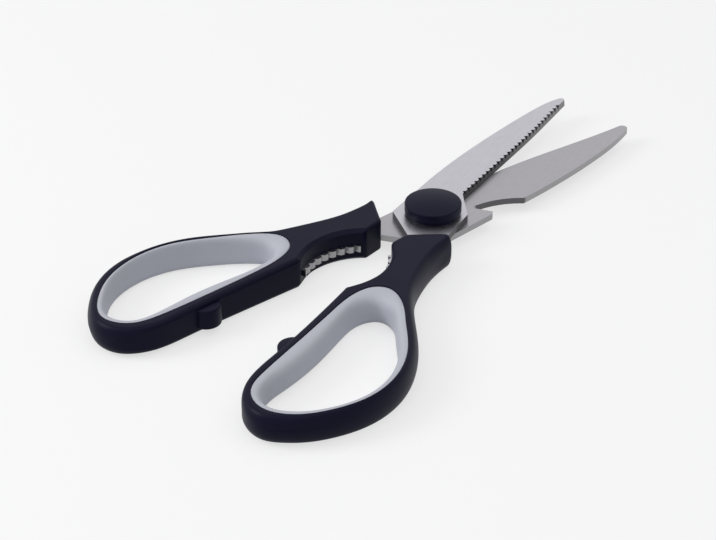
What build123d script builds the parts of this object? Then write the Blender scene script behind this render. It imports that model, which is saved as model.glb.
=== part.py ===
from build123d import *
import os
from math import cos, radians, sin, tan

os.makedirs("parts", exist_ok=True)

# Kitchen shears, lying on the underside of their handles and of the pivot nut.
# Z is the pivot axis, z = 0 is the resting plane and +Y points between the two tips.
# Each half is drawn closed, with its handle on +X and its cutting side towards +X.
# The upper half is then turned open one way, and the lower half is mirrored and turned the other way.

# Opening angle of each half from closed, as the shears lie
half_angle = 8.2

# Levels: the blades meet in the middle of the handles' thickness
handle_thickness = 11.5
blade_thickness = 2.2
blade_gap = 0.1
overrun = 1.0

# Blades: reach from the pivot to the tip, and width across cutting side and back
blade_reach = 96.0
lower_blade_width = 18.7
upper_blade_width = 14.9
bevel_heel_width = 0.75
bevel_tip_width = 0.35

# Serration ground into the upper blade's bevel
serration_pitch = 2.6
serration_depth = 0.85
serration_slope = 45.0
serration_angle = 104.0
serration_land = 0.7
serration_run_share = 0.95

# Toothed strip on each tang, seen in the nutcracker recess
tooth_pitch = 3.0
tooth_depth = 1.0
tooth_angle = 84.0

# Handles: reach from the pivot to the far end of the loop, and spread from the closing line
lower_handle_reach = 125.2
lower_handle_spread = 44.4
upper_handle_reach = 129.4
upper_handle_spread = 42.6
loop_taper = 0.9
taper_start_share = 0.36
rim_radius = 2.0
block_radius = 0.8
recess_chamfer = 1.2

# Stop nubs between the handles. The upper one reaches past the closing line, the lower one stops short.
nub_radius = 4.85
nub_height = 7.0
nub_distance = 92.1
nub_edge_radius = 0.7
nub_overreach = 0.8
stop_gap = 0.3

# Soft lining of the finger loops
lining_setback = 0.25
lining_radius = 1.1

# Shoulder screw and nut
shank_diameter = 6.0
running_clearance = 0.05
seat_clearance = 0.02
thread_diameter = 5.0
screw_head_diameter = 13.6
screw_head_height = 1.7
screw_end_recess = 0.4
driver_slot_width = 1.2
driver_slot_depth = 0.8
nut_width = 10.0
nut_chamfer = 0.5

# Washers between the screw head and the upper blade
thrust_washer_diameter = 17.6
thrust_washer_thickness = 0.55
spring_washer_diameter = 15.2
spring_washer_thickness = 0.3
spring_washer_height = 0.6

# Snap-on cap: a flange with a crowned top, on a neck that hides the spring washer
cap_diameter = 19.0
cap_neck_diameter = 17.4
cap_neck_clearance = 0.1
cap_rim_height = 2.8
cap_crown = 1.0
cap_fit = 0.03
cap_edge_radius = 0.5

# Blade outlines, as shares of blade width and blade reach.
# They run from the heel up the cutting side, round the tip and down the back.
lower_edge_shares = [(0.374, 0.188), (0.417, 0.438), (0.339, 0.600), (0.212, 0.792), (0.115, 0.984)]
lower_tip_shares = [(0.053, 1.000), (-0.053, 0.993)]
lower_back_shares = [(-0.053, 0.993), (-0.142, 0.943), (-0.268, 0.853), (-0.365, 0.754),
                     (-0.450, 0.645), (-0.509, 0.542), (-0.552, 0.448), (-0.578, 0.337)]
notch_curve_shares = [(-0.578, 0.337), (-0.337, 0.271), (-0.193, 0.179)]
notch_end_shares = [(-0.193, 0.179), (-0.198, 0.163), (-0.257, 0.158)]
lower_heel_shares = [(-0.257, 0.158), (-0.540, 0.189), (-0.598, 0.176), (-0.642, -0.031),
                     (-0.655, -0.076), (-0.112, -0.170)]
lower_shoulder_shares = [(0.652, -0.031), (0.556, 0.083), (0.374, 0.188)]

upper_edge_shares = [(0.201, 0.170), (0.201, 0.250), (0.185, 0.500), (0.160, 0.708),
                     (0.120, 0.833), (0.066, 0.987)]
upper_tip_shares = [(-0.007, 0.998), (-0.087, 0.993)]
upper_back_shares = [(-0.087, 0.993), (-0.168, 0.968), (-0.345, 0.871), (-0.575, 0.648),
                     (-0.758, 0.385), (-0.805, 0.121)]
upper_heel_shares = [(-0.805, 0.121), (-0.797, -0.065), (0.020, -0.177)]
upper_shoulder_shares = [(0.779, -0.104), (0.705, 0.052), (0.322, 0.131), (0.201, 0.170)]

# Handle and tang outlines, as shares of handle spread and handle reach.
# They run down the inner side, round the loop and up the outer side.
lower_front_shares = [(0.363, -0.097), (0.212, -0.132), (0.086, -0.158), (0.079, -0.176), (0.056, -0.223)]
lower_recess_shares = [(0.056, -0.223), (0.176, -0.331), (0.081, -0.440)]
lower_loop_shares = [(0.081, -0.440), (0.092, -0.623), (0.097, -0.799), (0.115, -0.905),
                     (0.250, -0.984), (0.428, -1.000), (0.631, -0.969), (0.847, -0.894),
                     (0.968, -0.794), (0.971, -0.684), (0.838, -0.551), (0.592, -0.436),
                     (0.462, -0.323), (0.381, -0.216), (0.363, -0.097)]
lower_opening_shares = [(0.408, -0.402), (0.556, -0.440), (0.723, -0.528), (0.874, -0.630),
                        (0.914, -0.731), (0.838, -0.840), (0.649, -0.931), (0.428, -0.971),
                        (0.261, -0.942), (0.187, -0.856), (0.171, -0.719), (0.167, -0.563),
                        (0.198, -0.466), (0.286, -0.413)]
lower_grip_shares = [(0.405, -0.447), (0.550, -0.475), (0.698, -0.538), (0.845, -0.634),
                     (0.883, -0.730), (0.806, -0.834), (0.619, -0.914), (0.428, -0.948),
                     (0.304, -0.924), (0.264, -0.851), (0.286, -0.718), (0.257, -0.591),
                     (0.252, -0.511), (0.306, -0.463)]
lower_tang_shares = [(0.122, -0.167), (0.110, -0.226)]
lower_strip_shares = [(0.065, -0.238), (0.146, -0.331), (0.074, -0.425)]
lower_tail_shares = [(0.162, -0.428), (0.262, -0.372), (0.284, -0.301), (0.275, -0.151)]

upper_front_shares = [(0.368, -0.105), (0.202, -0.134), (0.059, -0.164), (0.038, -0.190), (0.021, -0.219)]
upper_recess_shares = [(0.021, -0.219), (0.160, -0.340), (0.042, -0.447)]
upper_loop_shares = [(0.042, -0.447), (0.061, -0.603), (0.061, -0.773), (0.073, -0.889),
                     (0.200, -0.972), (0.387, -1.000), (0.592, -0.976), (0.815, -0.903),
                     (0.958, -0.802), (0.993, -0.696), (0.876, -0.570), (0.657, -0.461),
                     (0.484, -0.362), (0.401, -0.265), (0.366, -0.170), (0.368, -0.105)]
upper_opening_shares = [(0.310, -0.403), (0.460, -0.424), (0.653, -0.504), (0.833, -0.595),
                        (0.941, -0.710), (0.913, -0.806), (0.763, -0.896), (0.552, -0.957),
                        (0.338, -0.968), (0.172, -0.925), (0.129, -0.849), (0.131, -0.711),
                        (0.131, -0.556), (0.169, -0.445), (0.223, -0.417)]
upper_grip_shares = [(0.331, -0.456), (0.451, -0.465), (0.610, -0.527), (0.777, -0.611),
                     (0.880, -0.712), (0.859, -0.801), (0.716, -0.886), (0.526, -0.936),
                     (0.340, -0.945), (0.237, -0.909), (0.235, -0.820), (0.256, -0.680),
                     (0.223, -0.557), (0.242, -0.486)]
upper_tang_shares = [(0.082, -0.178), (0.066, -0.227)]
upper_strip_shares = [(0.026, -0.240), (0.122, -0.337), (0.045, -0.430)]
upper_tail_shares = [(0.110, -0.431), (0.239, -0.376), (0.274, -0.301), (0.273, -0.130)]

# Levels worked out from the thicknesses
mid_level = handle_thickness / 2
lower_blade_top = mid_level - blade_gap / 2
lower_blade_bottom = lower_blade_top - blade_thickness
upper_blade_bottom = mid_level + blade_gap / 2
upper_blade_top = upper_blade_bottom + blade_thickness
thrust_bottom = upper_blade_top + seat_clearance
thrust_top = thrust_bottom + thrust_washer_thickness
spring_bottom = thrust_top + seat_clearance
head_bottom = spring_bottom + spring_washer_height + seat_clearance
head_top = head_bottom + screw_head_height
nut_top = lower_blade_bottom - seat_clearance


def placed(shares, width, length):
    """Points of an outline from its shares of a width and a length."""
    return [Vector(x * width, y * length) for x, y in shares]


def prism(face, bottom, top):
    """A face drawn on the XY plane, carried up from one level to another."""
    return Pos(0, 0, bottom) * extrude(face, amount=top - bottom)


def blade_face(edge, tip, back, notch, heel, strip, shoulder, blunted, level):
    """The outline of a blade and its tang at one level, its cutting side set back where it is blunted."""
    if blunted:
        narrowing = (bevel_heel_width - bevel_tip_width) / (len(edge) - 1)
        edge = [point - Vector(bevel_heel_width - i * narrowing, 0) for i, point in enumerate(edge)]
        tip = [tip[0] - Vector(bevel_tip_width / 2, 0), tip[1]]
    outline = Spline(*edge) + ThreePointArc(edge[-1], *tip) + Spline(*back)
    for curve in notch:
        outline += ThreePointArc(*curve)
    outline += Polyline(*heel) + ThreePointArc(*strip) + Polyline(*shoulder, edge[0])
    return Pos(0, 0, level) * make_face(outline)


def toothed(solid, strip, bottom, top):
    """Cuts V notches square across the tang's edge, along the strip in the nutcracker recess."""
    line = ThreePointArc(*strip)
    count = int(line.length / tooth_pitch)
    half_width = tooth_depth * tan(radians(tooth_angle / 2))
    for i in range(count):
        share = (i + 0.5) / count
        root = line @ share
        along = line % share
        inward = Vector(-along.Y, along.X)
        notch = make_face(Polyline(
            root + inward * tooth_depth,
            root + along * half_width,
            root + along * half_width - inward * overrun,
            root - along * half_width - inward * overrun,
            root - along * half_width,
            root + inward * tooth_depth,
        ))
        solid -= prism(notch, bottom - overrun, top + overrun)
    return solid


def serrated(solid, edge):
    """Cuts sloping V grooves across the bevel, from the top face down to just above the cutting edge."""
    line = Spline(*edge)
    count = int(line.length * serration_run_share / serration_pitch)
    run = blade_thickness / sin(radians(serration_slope))
    half_width = 2 * serration_depth * tan(radians(serration_angle / 2))
    for i in range(count):
        share = (i + 0.5) / count * serration_run_share
        foot = line @ share
        along = line % share
        outward = Vector(along.Y, -along.X)
        up_slope = Vector(0, 0, sin(radians(serration_slope))) - outward * cos(radians(serration_slope))
        groove_plane = Plane(
            origin=foot + Vector(0, 0, upper_blade_bottom + serration_land),
            x_dir=along,
            z_dir=up_slope,
        )
        v_shape = make_face(Polyline(
            (0, 0),
            (half_width, -2 * serration_depth),
            (-half_width, -2 * serration_depth),
            (0, 0),
        ))
        solid -= groove_plane * Pos(0, 0, -overrun) * extrude(v_shape, amount=run + overrun)
    return solid


def slab(reach, inset):
    """The space between the handle's top and bottom, which draw together a little along the loop."""
    far = reach + overrun
    start = reach * taper_start_share
    side = Plane.YZ * make_face(Polyline(
        (0, inset),
        (-start, inset),
        (-far, loop_taper + inset),
        (-far, handle_thickness - loop_taper - inset),
        (-start, handle_thickness - inset),
        (0, handle_thickness - inset),
        (0, inset),
    ))
    return extrude(side, amount=reach, both=True)


def nub(reach_past):
    """The stop nub: an upright round let into the handle's inner wall."""
    solid = Cylinder(nub_radius, nub_height)
    solid = fillet(solid.edges().filter_by(GeomType.CIRCLE), nub_edge_radius)
    return Pos(stop_gap / 2 - reach_past + nub_radius, -nub_distance, mid_level) * solid


def handle_body(reach, spread, front, recess, loop, opening, reach_past, tang_solid):
    """A black moulded handle: front block, nutcracker recess, loop and stop nub."""
    front = placed(front, spread, reach)
    recess = placed(recess, spread, reach)
    loop = placed(loop, spread, reach)
    front_line = ThreePointArc(*front[:3]) + Polyline(*front[2:])
    outline = front_line + ThreePointArc(*recess) + Spline(*loop)
    body = prism(make_face(outline), 0, handle_thickness) & slab(reach, 0)
    body = chamfer(rims(body, ThreePointArc(*recess)), recess_chamfer)
    body = fillet(rims(body, Spline(*loop)), rim_radius)
    body = fillet(rims(body, front_line), block_radius)
    hole = Spline(*placed(opening, spread, reach), periodic=True)
    body += nub(reach_past)
    body -= prism(make_face(hole), -overrun, handle_thickness + overrun)
    return body - tang_solid


def rims(solid, curve):
    """The edges of a solid, round its top and bottom, that run along the given outline."""
    return [
        edge for edge in solid.edges()
        if all(
            curve.distance_to(Vector(edge.position_at(at).X, edge.position_at(at).Y)) < seat_clearance
            for at in (0.1, 0.5, 0.9)
        )
        and abs(edge.tangent_at(0.5).Z) < 0.5
    ]


def lining(reach, spread, opening, grip):
    """A soft ring inside the loop, fuller along the palm side, with rounded inner edges."""
    outer = Spline(*placed(opening, spread, reach), periodic=True)
    inner = Spline(*placed(grip, spread, reach), periodic=True)
    ring = prism(make_face(outer), 0, handle_thickness)
    ring -= prism(make_face(inner), -overrun, handle_thickness + overrun)
    ring &= slab(reach, lining_setback)
    return fillet(rims(ring, inner), lining_radius)


def left(solid):
    """The lower half: its drawing mirrored onto -X and turned open the other way."""
    return Rot(0, 0, -half_angle) * mirror(solid, about=Plane.YZ)


def right(solid):
    """The upper half, turned open."""
    return Rot(0, 0, half_angle) * solid


def turned_about_pivot(points):
    """A solid of revolution about the pivot axis from a closed profile of radius and level."""
    return revolve(Plane.XZ * make_face(Polyline(*points, points[0])), Axis.Z)


# Lower blade, with the bottle-opener notch in its back and the bevel underneath
lower_handle = (lower_handle_spread, lower_handle_reach)
lower_size = (lower_blade_width, blade_reach)
lower_edge = placed(lower_edge_shares, *lower_size)
lower_strip = placed(lower_strip_shares, *lower_handle)
lower_outline = (
    lower_edge,
    placed(lower_tip_shares, *lower_size),
    placed(lower_back_shares, *lower_size),
    [placed(notch_curve_shares, *lower_size), placed(notch_end_shares, *lower_size)],
    placed(lower_heel_shares, *lower_size) + placed(lower_tang_shares, *lower_handle) + lower_strip[:1],
    lower_strip,
    lower_strip[-1:] + placed(lower_tail_shares, *lower_handle)
    + placed(lower_shoulder_shares, *lower_size)[:-1],
)
lower_blade = loft([
    blade_face(*lower_outline, True, lower_blade_bottom),
    blade_face(*lower_outline, False, lower_blade_top),
], ruled=True)
seat_radius = shank_diameter / 2 + seat_clearance
lower_blade -= Pos(0, 0, mid_level) * Cylinder(seat_radius, handle_thickness)
lower_blade = toothed(lower_blade, lower_strip, lower_blade_bottom, lower_blade_top)

# Upper blade, with the serrated bevel on top
upper_handle = (upper_handle_spread, upper_handle_reach)
upper_size = (upper_blade_width, blade_reach)
upper_edge = placed(upper_edge_shares, *upper_size)
upper_strip = placed(upper_strip_shares, *upper_handle)
upper_outline = (
    upper_edge,
    placed(upper_tip_shares, *upper_size),
    placed(upper_back_shares, *upper_size),
    [],
    placed(upper_heel_shares, *upper_size) + placed(upper_tang_shares, *upper_handle) + upper_strip[:1],
    upper_strip,
    upper_strip[-1:] + placed(upper_tail_shares, *upper_handle)
    + placed(upper_shoulder_shares, *upper_size)[:-1],
)
upper_blade = loft([
    blade_face(*upper_outline, False, upper_blade_bottom),
    blade_face(*upper_outline, True, upper_blade_top),
], ruled=True)
turning_radius = shank_diameter / 2 + running_clearance
upper_blade -= Pos(0, 0, mid_level) * Cylinder(turning_radius, handle_thickness)
upper_blade = toothed(upper_blade, upper_strip, upper_blade_bottom, upper_blade_top)
upper_blade = serrated(upper_blade, upper_edge)

# Handles, moulded round the tangs
lower_body = handle_body(lower_handle_reach, lower_handle_spread, lower_front_shares, lower_recess_shares,
                         lower_loop_shares, lower_opening_shares, -nub_overreach, lower_blade)
upper_body = handle_body(upper_handle_reach, upper_handle_spread, upper_front_shares, upper_recess_shares,
                         upper_loop_shares, upper_opening_shares, nub_overreach, upper_blade)

# Linings of the finger loops
lower_lining = lining(lower_handle_reach, lower_handle_spread, lower_opening_shares, lower_grip_shares)
upper_lining = lining(upper_handle_reach, upper_handle_spread, upper_opening_shares, upper_grip_shares)

# Shoulder screw: head under the cap, shank through both blades, threaded end in the nut
shank_bottom = lower_blade_bottom
screw = turned_about_pivot([
    (0, screw_end_recess),
    (thread_diameter / 2, screw_end_recess),
    (thread_diameter / 2, shank_bottom),
    (shank_diameter / 2, shank_bottom),
    (shank_diameter / 2, head_bottom),
    (screw_head_diameter / 2, head_bottom),
    (screw_head_diameter / 2, head_top),
    (0, head_top),
])
screw -= Pos(0, 0, head_top) * Box(
    screw_head_diameter + overrun,
    driver_slot_width,
    2 * driver_slot_depth,
)

# Nut under the lower blade, its lower face in the resting plane
nut = prism(make_face(RegularPolygon(nut_width / 2, 6, major_radius=False)), 0, nut_top)
nut = chamfer(nut.edges().group_by(Axis.Z)[0], nut_chamfer)
nut -= Cylinder(thread_diameter / 2 + seat_clearance, 3 * handle_thickness)

# Washers
thrust_washer = prism(make_face(Circle(thrust_washer_diameter / 2)), thrust_bottom, thrust_top)
thrust_washer -= Cylinder(turning_radius, 3 * handle_thickness)
spring_top = spring_bottom + spring_washer_height
spring_washer = turned_about_pivot([
    (turning_radius, spring_top - spring_washer_thickness),
    (spring_washer_diameter / 2, spring_bottom),
    (spring_washer_diameter / 2, spring_bottom + spring_washer_thickness),
    (turning_radius, spring_top),
])

# Cap, snapped over the screw head
cap_rim_top = head_bottom + cap_rim_height
crown_radius = ((cap_diameter / 2) ** 2 + cap_crown ** 2) / (2 * cap_crown)
crown = Pos(0, 0, cap_rim_top + cap_crown - crown_radius) * Sphere(crown_radius)
cap = prism(make_face(Circle(cap_diameter / 2)), head_bottom, cap_rim_top + cap_crown)
cap &= crown
cap_rim = Circle(cap_diameter / 2)
rim_edges = cap.edges().filter_by(lambda edge: abs(edge.length - cap_rim.edge().length) < cap_fit)
cap = fillet(rim_edges.sort_by(Axis.Z)[-1], cap_edge_radius)
neck = make_face(Circle(cap_neck_diameter / 2))
cap += prism(neck, spring_bottom + seat_clearance, head_bottom + seat_clearance)
neck_bore = spring_washer_diameter / 2 + cap_neck_clearance
cap -= prism(make_face(Circle(neck_bore)), spring_bottom - overrun, head_bottom + seat_clearance)
head_bore = screw_head_diameter / 2 + cap_fit
cap -= prism(make_face(Circle(head_bore)), spring_bottom - overrun, head_top + cap_fit)

nodes = {
    "lower_blade": left(lower_blade),
    "upper_blade": right(upper_blade),
    "lower_handle_body": left(lower_body),
    "upper_handle_body": right(upper_body),
    "lower_grip_lining": left(lower_lining),
    "upper_grip_lining": right(upper_lining),
    "pivot_screw": screw,
    "pivot_nut": nut,
    "thrust_washer": thrust_washer,
    "spring_washer": spring_washer,
    "pivot_cap": cap,
}
for name, solid in nodes.items():
    export_step(solid, f"parts/{name}.step")
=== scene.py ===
from math import cos, radians, sin

import bpy
import numpy as np
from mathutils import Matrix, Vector
from mathutils.geometry import tessellate_polygon


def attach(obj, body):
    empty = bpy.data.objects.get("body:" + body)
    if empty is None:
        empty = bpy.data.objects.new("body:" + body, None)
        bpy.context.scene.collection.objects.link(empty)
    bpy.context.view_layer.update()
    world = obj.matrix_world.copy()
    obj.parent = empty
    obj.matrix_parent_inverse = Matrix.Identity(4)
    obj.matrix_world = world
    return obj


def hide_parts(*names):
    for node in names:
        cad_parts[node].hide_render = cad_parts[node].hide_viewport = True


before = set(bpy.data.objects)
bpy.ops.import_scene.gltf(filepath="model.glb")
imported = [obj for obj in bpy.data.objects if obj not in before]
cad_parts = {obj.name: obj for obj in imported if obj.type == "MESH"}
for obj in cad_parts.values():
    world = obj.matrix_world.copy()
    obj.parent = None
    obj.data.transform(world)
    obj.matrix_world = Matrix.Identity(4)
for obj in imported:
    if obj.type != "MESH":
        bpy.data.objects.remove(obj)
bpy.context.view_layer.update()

# The table: a pale matt top that fades into a white surround and keeps the shadow under the shears.
# Steel and plastic mirror the same pale top. Every length in this file is in millimetres.
MM = 0.001
TABLE_HALF_WIDTH = 3000
TABLE_LEVEL = -0.05
TABLE_COLOUR = (0.86, 0.86, 0.87)
TABLE_GLOW = 0.65


def painted(name, colour, roughness, metallic=0.0):
    """A new material with its main shader's colour, roughness and metalness set directly."""
    material = bpy.data.materials.new(name)
    material.use_nodes = True
    shader = material.node_tree.nodes["Principled BSDF"]
    shader.inputs["Base Color"].default_value = (*colour, 1)
    shader.inputs["Roughness"].default_value = roughness
    shader.inputs["Metallic"].default_value = metallic
    return material, material.node_tree, shader


def add_node(tree, kind, inputs, **settings):
    """A shader node with its settings. Each input gets a plain value, or a link from another's output."""
    node = tree.nodes.new("ShaderNode" + kind)
    for key, value in settings.items():
        setattr(node, key, value)
    for key, value in inputs.items():
        if isinstance(value, bpy.types.NodeSocket):
            tree.links.new(value, node.inputs[key])
        else:
            node.inputs[key].default_value = value
    return node


def mesh_object(name, points, faces, material, smooth_angle=35):
    """A mesh from points in mm, smooth except where two faces meet at more than the angle."""
    mesh = bpy.data.meshes.new(name)
    mesh.from_pydata(np.asarray(points, float) * MM, [], faces)
    mesh.materials.append(material)
    mesh.polygons.foreach_set("use_smooth", np.ones(len(mesh.polygons), bool))
    mesh.set_sharp_from_angle(angle=radians(smooth_angle))
    mesh.update()
    piece = bpy.data.objects.new(name, mesh)
    bpy.context.scene.collection.objects.link(piece)
    return piece


table_paint, tree, shader = painted("table_paint", TABLE_COLOUR, 0.9)
shader.inputs["Specular IOR Level"].default_value = 0.1
glow = add_node(tree, "Emission", {"Color": (1, 1, 1, 1)})
path = add_node(tree, "LightPath", {})
seen = add_node(tree, "Math", {0: path.outputs["Is Camera Ray"], 1: path.outputs["Is Glossy Ray"]},
                operation="MAXIMUM")
share = add_node(tree, "Math", {0: seen.outputs[0], 1: TABLE_GLOW}, operation="MULTIPLY")
lit = add_node(tree, "MixShader", {0: share.outputs[0], 1: shader.outputs[0], 2: glow.outputs[0]})
tree.links.new(lit.outputs[0], tree.nodes["Material Output"].inputs[0])
corners = TABLE_HALF_WIDTH * np.array([(-1, -1, 0), (1, -1, 0), (1, 1, 0), (-1, 1, 0)]) + (0, 0, TABLE_LEVEL)
table = mesh_object("table", corners, [(0, 1, 2, 3)], table_paint)

# The light: a white surround that is plain to the camera and weaker on matt surfaces, a wide soft lamp
# overhead and a smaller one low on the left.
SURROUND_STRENGTH = 1.0
SURROUND_ON_MATT = 0.35

surround = bpy.data.worlds.new("surround")
bpy.context.scene.world = surround
surround.use_nodes = True
surround_path = add_node(surround.node_tree, "LightPath", {})
strength = add_node(surround.node_tree, "MapRange", {
    "Value": surround_path.outputs["Is Diffuse Ray"],
    "To Min": SURROUND_STRENGTH,
    "To Max": SURROUND_ON_MATT,
})
background = surround.node_tree.nodes["Background"]
background.inputs["Color"].default_value = (1, 1, 1, 1)
surround.node_tree.links.new(strength.outputs["Result"], background.inputs["Strength"])


def soft_lamp(name, place, aim, size, power):
    """A square lamp at a place, facing a point."""
    data = bpy.data.lights.new(name, "AREA")
    data.shape = "SQUARE"
    data.size = size * MM
    data.energy = power
    lamp = bpy.data.objects.new(name, data)
    lamp.location = Vector(place) * MM
    lamp.rotation_euler = (Vector(aim) - Vector(place)).to_track_quat("-Z", "Y").to_euler()
    bpy.context.scene.collection.objects.link(lamp)


soft_lamp("overhead_lamp", place=(150, -100, 1000), aim=(0, -20, 0), size=1800, power=7.0)
soft_lamp("left_lamp", place=(-700, -700, 650), aim=(0, -40, 0), size=500, power=6.0)

# The camera: it looks down at the shears from beyond the handles, to their right.
# Its place, turn and lens were fitted to the cap, the blades and the loops.
CAMERA_PLACE = (383.4, -501.7, 379.7)
CAMERA_ELEVATION = 32
CAMERA_TURN = 39.65

camera_data = bpy.data.cameras.new("camera")
camera_data.sensor_width = 36
camera_data.lens = 110.6
camera = bpy.data.objects.new("camera", camera_data)
camera.location = Vector(CAMERA_PLACE) * MM
camera.rotation_euler = (radians(90 - CAMERA_ELEVATION), 0, radians(CAMERA_TURN))
bpy.context.scene.collection.objects.link(camera)
bpy.context.scene.camera = camera
bpy.context.scene.view_settings.view_transform = "Standard"

# Blades: stamped from stainless steel about 2 mm thick, ground flat and brushed along their length.
# The lower one is plain, with a bottle-opener notch stamped in its back, whose wall is coloured darker.
# The upper one has a bevel with V grooves. Upright faces carry painted shade, darker towards the pivot,
# and groove walls a darker painted shade. The tangs run into the handles.
OPEN_ANGLE = 8.2
STEEL_ROUGHNESS = 0.3
ROUGHNESS_SPREAD = (-0.06, 0.08)
GRAIN_CELLS_PER_METRE = (4200, 260, 4200)
GRAIN_IN_COLOUR = 0.24
GRAIN_IN_BUMP = 0.12
GRAIN_HEIGHT = 0.02

# How far a face's normal points up, for the flat tone, and along the blade, for a groove's wall
FLAT_NORMAL = (0.6, 0.95)
GROOVE_NORMAL = (0.45, 0.6)

# The distances over which a tone comes in or goes out: from the pivot, and from the notch's centre
GROOVES_START = (14, 15)
GROOVES_END = (92, 93)
EDGE_RUN = (15, 90)
NOTCH_CENTRE = (9.8, 24.2, 4.6)
NOTCH_REACH = (8.8, 9.3)


def brushed_steel_and_shade(name, turn, tone, heel_shade, tip_shade, groove_shade_and_notch_tone, notch=None):
    """Steel with a fine grain along the blade: noise in object coordinates, turned to the blade and drawn
    out along it. Upright faces take a painted shade tone, which runs from heel to tip. Grooves, whose walls
    look along the blade, take a darker painted shade, and upright faces within reach of the notch's centre
    take the same dark tone."""
    material, tree, shader = painted(name, tone, STEEL_ROUGHNESS, metallic=1.0)

    def math(operation, *values):
        return add_node(tree, "Math", dict(enumerate(values)), operation=operation).outputs[0]

    def ramp(source, span, start=0.0, end=1.0):
        return add_node(tree, "MapRange", {
            "Value": source,
            "From Min": span[0],
            "From Max": span[1],
            "To Min": start,
            "To Max": end,
        }).outputs["Result"]

    def blend(share, a, b):
        return add_node(tree, "Mix", {"Factor": share, "A": a, "B": b}, data_type="RGBA").outputs["Result"]

    def in_metres(span):
        return [value * MM for value in span]

    place = add_node(tree, "TexCoord", {})
    turned = add_node(tree, "Mapping", {
        "Vector": place.outputs["Object"],
        "Rotation": (0, 0, radians(turn)),
    }).outputs["Vector"]
    drawn_out = add_node(tree, "VectorMath", {0: turned, 1: GRAIN_CELLS_PER_METRE}, operation="MULTIPLY")
    grain = add_node(tree, "TexNoise", {
        "Vector": drawn_out.outputs["Vector"],
        "Scale": 1.0,
        "Detail": 3.0,
    }).outputs["Fac"]
    from_pivot = add_node(tree, "SeparateXYZ", {"Vector": turned}).outputs["Y"]

    aim = add_node(tree, "SeparateXYZ", {"Vector": place.outputs["Normal"]})
    level = ramp(math("ABSOLUTE", aim.outputs["Z"]), FLAT_NORMAL)
    blade_line = (sin(radians(turn)), cos(radians(turn)), 0)
    lengthways = add_node(tree, "VectorMath", {0: place.outputs["Normal"], 1: blade_line},
                          operation="DOT_PRODUCT")
    grooves = ramp(math("ABSOLUTE", lengthways.outputs["Value"]), GROOVE_NORMAL)
    started = ramp(from_pivot, in_metres(GROOVES_START))
    not_ended = ramp(from_pivot, in_metres(GROOVES_END), 1, 0)
    groove_shade_and_notch = math("MULTIPLY", grooves, math("MULTIPLY", started, not_ended))
    if notch:
        away = add_node(tree, "VectorMath", {0: place.outputs["Object"], 1: in_metres(notch)},
                        operation="DISTANCE")
        groove_shade_and_notch = math("MAXIMUM", groove_shade_and_notch, ramp(away.outputs["Value"], in_metres(NOTCH_REACH), 1, 0))

    # Painted shade: upright faces take a tone that runs from heel to tip, and groove walls a darker one,
    # which also darkens the notch's wall.
    edge = blend(ramp(from_pivot, in_metres(EDGE_RUN)), (*heel_shade, 1), (*tip_shade, 1))
    finish = blend(level, blend(groove_shade_and_notch, edge, (*groove_shade_and_notch_tone, 1)), (*tone, 1))
    streaks = add_node(tree, "Mix", {"Factor": GRAIN_IN_COLOUR, "A": finish, "B": grain},
                       data_type="RGBA", blend_type="MULTIPLY")
    bump = add_node(tree, "Bump", {
        "Strength": GRAIN_IN_BUMP,
        "Distance": GRAIN_HEIGHT * MM,
        "Height": grain,
    })
    sheen = ramp(grain, (0, 1), *(STEEL_ROUGHNESS + spread for spread in ROUGHNESS_SPREAD))
    tree.links.new(streaks.outputs["Result"], shader.inputs["Base Color"])
    tree.links.new(bump.outputs["Normal"], shader.inputs["Normal"])
    tree.links.new(sheen, shader.inputs["Roughness"])
    return material


def repaint(node, material):
    """A better material for a CAD node that keeps its mesh."""
    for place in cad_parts[node].material_slots:
        place.material = material


# The heel and tip tones are painted shade on each blade's upright faces; the cut tone is a darker painted
# shade in the grooves and also darkens the notch's wall.
repaint("lower_blade", brushed_steel_and_shade(
    "lower_blade_steel",
    turn=OPEN_ANGLE,
    tone=(0.42, 0.41, 0.438),
    heel_shade=(0.355, 0.35, 0.36),
    tip_shade=(0.375, 0.37, 0.38),
    groove_shade_and_notch_tone=(0.125, 0.123, 0.13),
    notch=NOTCH_CENTRE,
))
repaint("upper_blade", brushed_steel_and_shade(
    "upper_blade_steel",
    turn=-OPEN_ANGLE,
    tone=(0.565, 0.555, 0.602),
    heel_shade=(0.062, 0.06, 0.064),
    tip_shade=(0.22, 0.216, 0.225),
    groove_shade_and_notch_tone=(0.012, 0.012, 0.014),
))

# Handles: two black satin mouldings, formed round the tangs so that they can't come off.
# Each has a blunt front block, a hollow for cracking nuts, a finger loop and a stop nub.
# Their edges run from crisp at the front, through a chamfer at the hollow, to a full round outside.
HANDLE_HEIGHT = 11.5
LOOP_TAPER = 0.9
TAPER_START_SHARE = 0.36
LOWER_REACH = 125.2
UPPER_REACH = 129.4

# Width and height of the rounds
FRONT_ROUND = (0.9, 1.1)
HOLLOW_CHAMFER = (1.2, 1.2)
INNER_ROUND = (1.6, 1.8)
OUTER_ROUND = (2.4, 5.4)
OPENING_ROUND = 0.3
ROOM_SHARE = 0.8

# Shares of the way round the loop, and how full the outer round is there
OUTER_SHARES = (0.28, 0.40, 0.94, 0.99)
OUTER_FULLNESS = (0, 1, 1, 0.5)

# How many points each part of the outline, and the opening, is drawn with
CORNER_POINTS = 24
FRONT_POINTS = 60
INNER_CORNER_POINTS = 12
INNER_SIDE_POINTS = 30
HOLLOW_POINTS = 120
LOOP_POINTS = 900
OPENING_POINTS = 600

# Spacing of the mesh, rings down a round, the flat strip beside it, and points a change is spread over
OUTLINE_SPACING = 0.3
OPENING_SPACING = 0.5
OUTLINE_RINGS = 11
OPENING_RINGS = 5
OUTLINE_STRIP = 0.12
OPENING_STRIP = 0.1
LINE_BLEND = 2.0
EDGE_BLEND = 4.0


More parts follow.
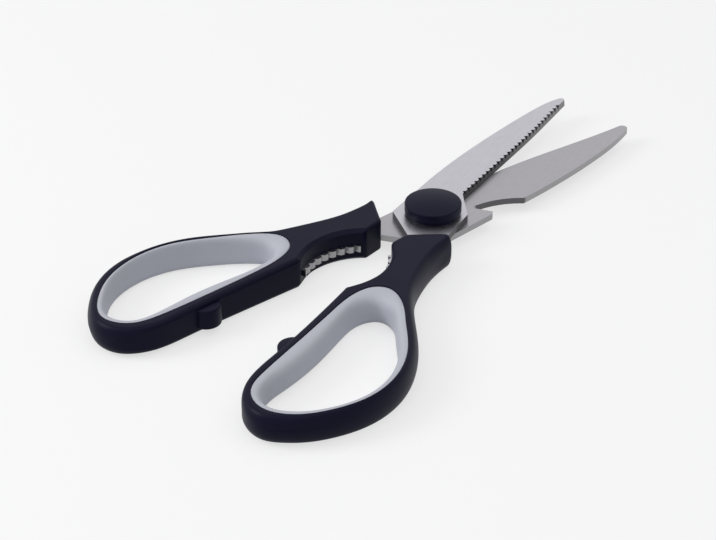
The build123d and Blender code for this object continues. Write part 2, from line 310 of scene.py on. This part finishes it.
def curve_through(points, count, closed=False):
    """Cubic spline through points, its parameter the chord length. The slopes at the points solve a
    band of equations that makes curvature continuous; an open curve has no curvature at its ends."""
    points = np.asarray(points, float)
    if closed:
        points = np.vstack([points, points[:1]])
    gaps = np.linalg.norm(np.diff(points, axis=0), axis=1)
    knots = np.concatenate([[0], np.cumsum(gaps)])
    n = len(points)
    system = np.zeros((n, n))
    right = np.zeros((n, 2))
    rows = np.arange(1, n - 1)
    system[rows, rows - 1] = 1 / gaps[:-1]
    system[rows, rows + 1] = 1 / gaps[1:]
    system[rows, rows] = 2 / gaps[:-1] + 2 / gaps[1:]
    slopes = np.diff(points, axis=0) / gaps[:, None] ** 2
    right[1:-1] = 3 * (slopes[:-1] + slopes[1:])
    if closed:
        system[0, 0] = 1
        system[0, -1] = -1
        system[-1, [0, -1]] = 2 / gaps[0], 2 / gaps[-1]
        system[-1, 1] = 1 / gaps[0]
        system[-1, -2] = 1 / gaps[-1]
        right[-1] = 3 * (slopes[0] + slopes[-1])
    else:
        system[0, [0, 1]] = 2, 1
        system[-1, [-1, -2]] = 2, 1
        right[0] = 3 * slopes[0] * gaps[0]
        right[-1] = 3 * slopes[-1] * gaps[-1]
    speed = np.linalg.solve(system, right)
    at = np.linspace(0, knots[-1], count, endpoint=not closed)
    span = np.clip(np.searchsorted(knots, at, "right") - 1, 0, n - 2)
    h = gaps[span]
    t = (at - knots[span]) / h
    t, h = t[:, None], h[:, None]
    return ((1 + 2 * t) * (1 - t) ** 2 * points[span] + t * (1 - t) ** 2 * h * speed[span]
            + t ** 2 * (3 - 2 * t) * points[span + 1] + t ** 2 * (t - 1) * h * speed[span + 1])


def arc_through(start, middle, end, count):
    """Circular arc through three points: their circle's centre solves two equations of equal distance."""
    a, b, c = (np.array(p, float) for p in (start, middle, end))
    centre = np.linalg.solve(2 * np.array([b - a, c - a]), [b @ b - a @ a, c @ c - a @ a])
    angles = np.unwrap([np.arctan2(*(p - centre)[::-1]) for p in (a, b, c)])
    turn = np.linspace(angles[0], angles[2], count)
    radius = np.linalg.norm(a - centre)
    return centre + radius * np.stack([np.cos(turn), np.sin(turn)], 1)


def length_along(line):
    """A closed line with its first point again at the end, and the length run up to each point."""
    closed = np.vstack([line, line[:1]])
    steps = np.linalg.norm(np.diff(closed, axis=0), axis=1)
    return closed, np.concatenate([[0], np.cumsum(steps)])


def evenly(line, spacing):
    """A closed line at an even spacing, and the place of each new point among the old ones."""
    closed, run = length_along(line)
    at = np.linspace(0, run[-1], int(run[-1] / spacing), endpoint=False)
    place = np.interp(at, run, np.arange(len(closed)))
    return np.stack([np.interp(at, run, closed[:, k]) for k in (0, 1)], 1), place


def softened(values, width):
    """Values round a closed line, averaged with a bell-shaped weight of that many samples."""
    reach = int(3 * width) + 1
    offsets = np.arange(-reach, reach + 1)
    weights = np.exp(-0.5 * (offsets / width) ** 2)
    weights /= weights.sum()
    return sum(w * np.roll(values, -k, axis=0) for w, k in zip(weights, offsets))


def leftward(line):
    """Unit normals to the left of a closed line, square to the chord between each point's neighbours."""
    along = np.roll(line, -1, axis=0) - np.roll(line, 1, axis=0)
    along /= np.linalg.norm(along, axis=1)[:, None]
    return np.stack([-along[:, 1], along[:, 0]], 1)


def half_height(y, reach):
    """Half the handle's height: full at the front, and less in a straight line along the loop."""
    start = TAPER_START_SHARE * reach
    return HANDLE_HEIGHT / 2 - LOOP_TAPER * np.clip((-y - start) / (reach - start), 0, 1)


def in_place(points, side):
    """Points drawn closed with the handle on +X, turned open; the left half is mirrored first."""
    turn = radians(OPEN_ANGLE) * side
    x, y = side * points[:, 0], points[:, 1]
    return np.stack([x * cos(turn) - y * sin(turn), x * sin(turn) + y * cos(turn),
                     points[:, 2] + HANDLE_HEIGHT / 2], 1)


def bands(rings):
    """Quads between rings of equal length, each ring joined to the next and closed on itself."""
    after = np.roll(rings, -1, axis=1)
    quads = np.stack([rings[:-1], after[:-1], after[1:], rings[1:]], -1)
    return [tuple(q) for q in quads.reshape(-1, 4).tolist()]


def facing(faces, side):
    """The same faces, their corners in the opposite order for the mirrored left half."""
    return [tuple(reversed(face)) for face in faces] if side < 0 else faces


def rim_sizes(place, ends, corner_round, room):
    """Width, height and exponent of the edge's round at each point of the outline. The exponent is 2 for
    an ellipse and 1 for a chamfer. The width never takes more than its share of the room up to the
    opening. Each changes along the outline as a step that is averaged over a few points."""
    share = (place - ends[4]) / (ends[5] - ends[4])
    fullness = np.interp(share, OUTER_SHARES, OUTER_FULLNESS)
    regions = [place <= ends[0], place <= ends[3], place <= ends[4]]
    wide, tall = (
        softened(np.select(regions, [at_corner, at_front, at_hollow], inner + fullness * (outer - inner)),
                 EDGE_BLEND)
        for at_corner, at_front, at_hollow, inner, outer
        in zip(corner_round, FRONT_ROUND, HOLLOW_CHAMFER, INNER_ROUND, OUTER_ROUND)
    )
    wide = softened(np.minimum(wide, ROOM_SHARE * room), EDGE_BLEND)
    power = softened(np.select(regions, [2.0, 2.0, 1.0], 2.0), LINE_BLEND)
    return wide, tall, power


def rounded_wall(line, wide, tall, power, count, strip, reach):
    """A wall as rings round a closed line, from the handle's top to its bottom. A ring is set to the
    line's left and dropped as a quarter of a superellipse of that width, height and exponent, after a
    first one a strip further in on the flat. The rings below mid height are the ones above, mirrored."""
    turn = np.linspace(0.5, 0, count)[:, None] * np.pi
    inset = wide * (1 - np.cos(turn).clip(0) ** (2 / power))
    drop = tall * (1 - np.sin(turn) ** (2 / power))
    inset = np.vstack([inset[:1] + strip, inset])
    xy = line + inset[..., None] * leftward(line)
    level = half_height(xy[..., 1], reach) - np.vstack([drop[:1], drop])
    top = np.concatenate([xy, level[..., None]], -1)
    return np.concatenate([top, top[::-1] * (1, 1, -1)])


def flat_between(outer, inner):
    """Triangles that fill the flat between two closed lines, as places in the two lines one after the
    other. A triangle whose corners run clockwise, by the sign of its area, is turned over."""
    points = np.vstack([outer, inner])
    triangles = np.array(tessellate_polygon([[Vector((*p, 0)) for p in line] for line in (outer, inner)]))
    a, b, c = (points[triangles[:, k]] for k in (0, 1, 2))
    area = (b - a)[:, 0] * (c - a)[:, 1] - (b - a)[:, 1] * (c - a)[:, 0]
    return np.where(area[:, None] > 0, triangles, triangles[:, ::-1])


NUB_RADIUS = 4.85
NUB_HEIGHT = 7.0
NUB_EDGE = 0.7
NUB_DISTANCE = 92.1
NUB_POINTS = 49
NUB_EDGE_RINGS = 7


def nub(tip, start):
    """The stop nub: an upright round whose tip stands off the closing line, sunk in the inner wall.
    Its rings are a half circle closed by a straight back, set in at top and bottom by a quarter circle."""
    turn = np.linspace(0.5, 1.5, NUB_POINTS) * np.pi
    plan = np.stack([np.cos(turn), np.sin(turn)], 1)
    quarter = np.linspace(0, 0.5, NUB_EDGE_RINGS) * np.pi
    shrink = NUB_EDGE * (1 - np.concatenate([np.sin(quarter), np.sin(quarter[::-1])]))
    level = NUB_HEIGHT / 2 - NUB_EDGE + NUB_EDGE * np.cos(quarter)
    level = np.concatenate([level, -level[::-1]])
    rings = (NUB_RADIUS - shrink)[:, None, None] * plan[None] + (tip + NUB_RADIUS, -NUB_DISTANCE)
    rings = np.concatenate([rings, np.broadcast_to(level[:, None, None], (*rings.shape[:2], 1))], -1)
    index = start + np.arange(rings.shape[0] * rings.shape[1]).reshape(rings.shape[:2])
    faces = bands(index[::-1])
    faces += [tuple(index[0].tolist()), tuple(index[-1, ::-1].tolist())]
    return rings.reshape(-1, 3), faces


def handle(name, side, reach, corner, corner_round, front, hollow, loop, opening, nub_tip, material):
    """A handle's surface, drawn closed on +X. The outline is the arc of the outer corner, the front's arc,
    a straight at its inner corner, one along the inner side, the arc of the hollow and a curve round the
    loop. A rounded wall follows it, another follows the opening, and flat faces close top and bottom."""
    pieces = [
        arc_through(*corner, CORNER_POINTS)[:-1],
        arc_through(*front[:3], FRONT_POINTS)[:-1],
        np.linspace(front[2], front[3], INNER_CORNER_POINTS)[:-1],
        np.linspace(front[3], front[4], INNER_SIDE_POINTS)[:-1],
        arc_through(*hollow, HOLLOW_POINTS)[:-1],
        curve_through(loop, LOOP_POINTS)[:-1],
    ]
    ends = np.cumsum([len(piece) for piece in pieces])
    line, place = evenly(np.vstack(pieces), OUTLINE_SPACING)
    line = softened(line, LINE_BLEND)
    hole, _ = evenly(curve_through(opening, OPENING_POINTS, closed=True), OPENING_SPACING)
    room = np.linalg.norm(line[:, None] - hole[None], axis=2).min(axis=1)
    wide, tall, power = rim_sizes(place, ends, corner_round, room)
    flank = rounded_wall(line, wide, tall, power, OUTLINE_RINGS, OUTLINE_STRIP, reach)
    inner_wall = rounded_wall(hole, OPENING_ROUND, OPENING_ROUND, 2.0, OPENING_RINGS, OPENING_STRIP, reach)
    points = np.vstack([flank.reshape(-1, 3), inner_wall.reshape(-1, 3)])
    rings = np.arange(flank.shape[0] * len(line)).reshape(-1, len(line))
    hole_rings = rings.size + np.arange(inner_wall.shape[0] * len(hole)).reshape(-1, len(hole))
    flat = flat_between(flank[0, :, :2], inner_wall[0, :, :2])
    top = np.concatenate([rings[0], hole_rings[0]])[flat]
    bottom = np.concatenate([rings[-1], hole_rings[-1]])[flat][:, ::-1]
    nub_points, nub_faces = nub(nub_tip, len(points))
    faces = bands(rings[::-1]) + bands(hole_rings[::-1])
    faces += [tuple(t) for t in top.tolist() + bottom.tolist()] + nub_faces
    points = in_place(np.vstack([points, nub_points]), side)
    return mesh_object(name, points, facing(faces, side), material, smooth_angle=30)


BLACK = (0.0038, 0.0038, 0.0165)
PEBBLES_PER_METRE = 2600
PEBBLE_HEIGHT = 0.02
PATCHES_PER_METRE = 60
PATCH_ROUGHNESS = (0.36, 0.46)


def moulded_black(name):
    """Black plastic with a slight blue cast: a fine pebble in its bump and soft patches in its gloss."""
    material, tree, shader = painted(name, BLACK, roughness=0.42)
    shader.inputs["Specular IOR Level"].default_value = 0.08
    place = add_node(tree, "TexCoord", {}).outputs["Object"]
    pebble = add_node(tree, "TexNoise", {"Vector": place, "Scale": PEBBLES_PER_METRE, "Detail": 2})
    bump = add_node(tree, "Bump", {
        "Strength": 0.25,
        "Distance": PEBBLE_HEIGHT * MM,
        "Height": pebble.outputs["Fac"],
    })
    patches = add_node(tree, "TexNoise", {"Vector": place, "Scale": PATCHES_PER_METRE})
    gloss = add_node(tree, "MapRange", {
        "Value": patches.outputs["Fac"],
        "To Min": PATCH_ROUGHNESS[0],
        "To Max": PATCH_ROUGHNESS[1],
    })
    tree.links.new(bump.outputs["Normal"], shader.inputs["Normal"])
    tree.links.new(gloss.outputs["Result"], shader.inputs["Roughness"])
    return material


handle_black = moulded_black("handle_black")

# The lower handle's outer corner stays on the line that the upper blade's back clears when fully open.
lower_opening = [(18.1, -50.3), (24.7, -55.1), (32.1, -66.1), (38.8, -78.9), (40.6, -91.5), (37.2, -105.2),
                 (28.8, -116.5), (19.0, -121.6), (11.6, -118.0), (8.3, -107.2), (7.6, -90.0), (7.4, -70.5),
                 (8.8, -58.3), (12.7, -51.7)]
lower_handle = handle(
    "lower_handle", -1, LOWER_REACH,
    corner=[(16.2, -14.3), (15.75, -13.1), (14.5, -13.15)],
    corner_round=(0.7, 1.6),
    front=[(14.5, -13.15), (9.2, -16.55), (3.8, -19.8), (3.5, -22.0), (2.5, -27.9)],
    hollow=[(2.5, -27.9), (7.8, -41.4), (3.6, -55.1)],
    loop=[(3.6, -55.1), (4.1, -78.0), (4.3, -100.0), (5.1, -113.3), (11.1, -123.2), (19.0, -125.2),
          (28.0, -121.3), (37.6, -111.9), (43.0, -99.4), (43.1, -85.6), (37.2, -69.0), (26.3, -54.6),
          (20.5, -40.4), (16.9, -27.0), (16.2, -14.3)],
    opening=lower_opening,
    nub_tip=0.95,
    material=handle_black,
)
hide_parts("lower_handle_body")
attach(lower_handle, "lower_half")

upper_opening = [(13.2, -52.2), (19.6, -54.9), (27.8, -65.2), (35.5, -77.0), (40.1, -91.9), (38.9, -104.3),
                 (32.5, -116.0), (23.5, -123.9), (14.4, -125.2), (7.3, -119.7), (5.5, -109.9), (5.6, -92.0),
                 (5.6, -72.0), (7.2, -57.6), (9.5, -53.9)]
upper_handle = handle(
    "upper_handle", 1, UPPER_REACH,
    corner=[(15.8, -16.2), (15.1, -14.2), (13.2, -13.9)],
    corner_round=(1.4, 5.0),
    front=[(13.2, -13.9), (8.6, -17.0), (2.5, -21.2), (1.4, -24.6), (0.6, -28.4)],
    hollow=[(0.6, -28.4), (6.8, -44.0), (1.8, -57.9)],
    loop=[(1.8, -57.9), (2.6, -78.0), (2.6, -100.0), (3.1, -115.0), (8.5, -125.8), (16.5, -129.4),
          (25.2, -126.3), (34.7, -116.8), (40.8, -103.8), (42.3, -90.0), (37.3, -73.8), (28.0, -59.6),
          (20.6, -46.9), (17.1, -34.3), (15.7, -22.0), (15.8, -16.2)],
    opening=upper_opening,
    nub_tip=-0.65,
    material=handle_black,
)
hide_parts("upper_handle_body")
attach(upper_handle, "upper_half")

# Linings: soft light grey rubber moulded into the loops, fuller where the palm presses.
# They meet the black in a fine groove and swell over into the opening.
LINING_SETBACK = 0.2
GROOVE = 0.35
GROOVE_SHARES = (0, 0.02, 0.05)
SWELL = 3.2
TIES = 12
LINING_DRAWN_POINTS = 1200
LINING_POINTS = 420
LINING_RINGS = 15

GREY = (0.46, 0.475, 0.53)
RUBBER_GRAINS_PER_METRE = 3500
RUBBER_GRAIN_HEIGHT = 0.02


def soft_grey(name):
    """Matt rubber: a fine grain in its bump."""
    material, tree, shader = painted(name, GREY, roughness=0.6)
    shader.inputs["Specular IOR Level"].default_value = 0.3
    place = add_node(tree, "TexCoord", {}).outputs["Object"]
    grain = add_node(tree, "TexNoise", {"Vector": place, "Scale": RUBBER_GRAINS_PER_METRE})
    bump = add_node(tree, "Bump", {
        "Strength": 0.2,
        "Distance": RUBBER_GRAIN_HEIGHT * MM,
        "Height": grain.outputs["Fac"],
    })
    tree.links.new(bump.outputs["Normal"], shader.inputs["Normal"])
    return material


def paired(outer, inner, count):
    """Points at matching places round two nested lines: the lines are tied where each reaches furthest in
    a set of even directions, and shared out evenly by length between the ties."""
    turn = np.arange(TIES) / TIES * 2 * np.pi
    aim = np.stack([np.cos(turn), np.sin(turn)])
    tied = []
    for line in (outer, inner):
        closed, run = length_along(line)
        ties = run[np.argmax(line @ aim, axis=0)]
        ties = ties[0] + np.mod(ties - ties[0], run[-1])
        tied.append((closed, run, np.append(ties, ties[0] + run[-1])))
    steps = np.diff(tied[0][2]) + np.diff(tied[1][2])
    known = np.concatenate([[0], np.cumsum(steps)])
    at = np.linspace(0, known[-1], count, endpoint=False)
    lines = []
    for closed, run, ties in tied:
        where = np.mod(np.interp(at, known, ties), run[-1])
        lines.append(np.stack([np.interp(where, run, closed[:, k]) for k in (0, 1)], 1))
    return lines


def lining(name, side, reach, opening, grip, material):
    """A ring of superellipse sections between the opening and the grip line. Each section rises from a
    fine groove at the black, lies nearly flat, and rounds over into the opening; it is the same below.
    Both lines are drawn clockwise and taken the other way round."""
    outer, inner = (curve_through(line, LINING_DRAWN_POINTS, closed=True)[::-1] for line in (opening, grip))
    outer, inner = paired(outer, inner, LINING_POINTS)
    half = half_height((outer[:, 1] + inner[:, 1]) / 2, reach) - LINING_SETBACK
    width = np.linalg.norm(inner - outer, axis=1)
    theta = np.linspace(0, 0.5, LINING_RINGS) * np.pi
    past_groove = np.sin(theta[1:]) ** (2 / SWELL)
    across = np.append(GROOVE_SHARES, GROOVE_SHARES[-1] + (1 - GROOVE_SHARES[-1]) * past_groove)[:, None]
    level = (1 - across.clip(0, 1) ** SWELL) ** (1 / SWELL)
    near = (1 - across * width / GROOVE).clip(0, 1)
    rise = half * level - GROOVE * (1 - np.sqrt(1 - near ** 2))
    xy = outer[None] + across[..., None] * (inner - outer)[None]
    top = np.concatenate([xy, rise[..., None]], -1)
    section = np.concatenate([top, top[-2::-1] * (1, 1, -1)])
    rings = np.arange(section.shape[0] * len(outer)).reshape(-1, len(outer))
    faces = bands(np.vstack([rings, rings[:1]]))
    points = in_place(section.reshape(-1, 3), side)
    return mesh_object(name, points, facing(faces, side), material, smooth_angle=40)


lining_grey = soft_grey("lining_grey")
lower_grip = [(18.0, -56.0), (24.4, -59.5), (31.0, -67.3), (37.5, -79.4), (39.2, -91.4), (35.8, -104.4),
              (27.5, -114.4), (19.0, -118.7), (13.5, -115.7), (11.7, -106.5), (12.7, -89.9), (11.4, -74.0),
              (11.2, -64.0), (13.6, -58.0)]
lower_lining = lining("lower_lining", -1, LOWER_REACH, lower_opening, lower_grip, lining_grey)
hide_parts("lower_grip_lining")
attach(lower_lining, "lower_half")

upper_grip = [(14.1, -59.0), (19.2, -60.2), (26.0, -68.2), (33.1, -79.0), (37.5, -92.1), (36.6, -103.7),
              (30.5, -114.6), (22.4, -121.1), (14.5, -122.3), (10.1, -117.6), (10.0, -106.1), (10.9, -88.0),
              (9.5, -72.1), (10.3, -62.9)]
upper_lining = lining("upper_lining", 1, UPPER_REACH, upper_opening, upper_grip, lining_grey)
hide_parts("upper_grip_lining")
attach(upper_lining, "upper_half")

# Pivot: a screw turned from steel holds both blades, with a nut below and a dished washer as its spring.
# A washer in the handles' black lies under the spring and darkens the band below the cap, and a moulded
# black cap snaps over the screw's head.
TURNED_TONE = (0.5, 0.5, 0.51)
TURNED_ROUGHNESS = (0.24, 0.38)
LATHE_MARK_SCALE = 900
LATHE_MARK_HEIGHT = 0.01


def turned_steel(name):
    """Steel with lathe marks: fine rings round the pivot's axis, from a wave, in its gloss and bump."""
    material, tree, shader = painted(name, TURNED_TONE, roughness=0.3, metallic=1.0)
    place = add_node(tree, "TexCoord", {}).outputs["Object"]
    marks = add_node(tree, "TexWave", {
        "Vector": place,
        "Scale": LATHE_MARK_SCALE,
        "Distortion": 1.5,
        "Detail": 2,
    }, wave_type="RINGS", rings_direction="Z").outputs["Fac"]
    gloss = add_node(tree, "MapRange", {
        "Value": marks,
        "To Min": TURNED_ROUGHNESS[0],
        "To Max": TURNED_ROUGHNESS[1],
    })
    bump = add_node(tree, "Bump", {"Strength": 0.2, "Distance": LATHE_MARK_HEIGHT * MM, "Height": marks})
    tree.links.new(gloss.outputs["Result"], shader.inputs["Roughness"])
    tree.links.new(bump.outputs["Normal"], shader.inputs["Normal"])
    return material


pivot_steel = turned_steel("turned_steel")
repaint("pivot_screw", pivot_steel)
repaint("pivot_nut", pivot_steel)
repaint("spring_washer", pivot_steel)
repaint("thrust_washer", handle_black)
repaint("pivot_cap", handle_black)
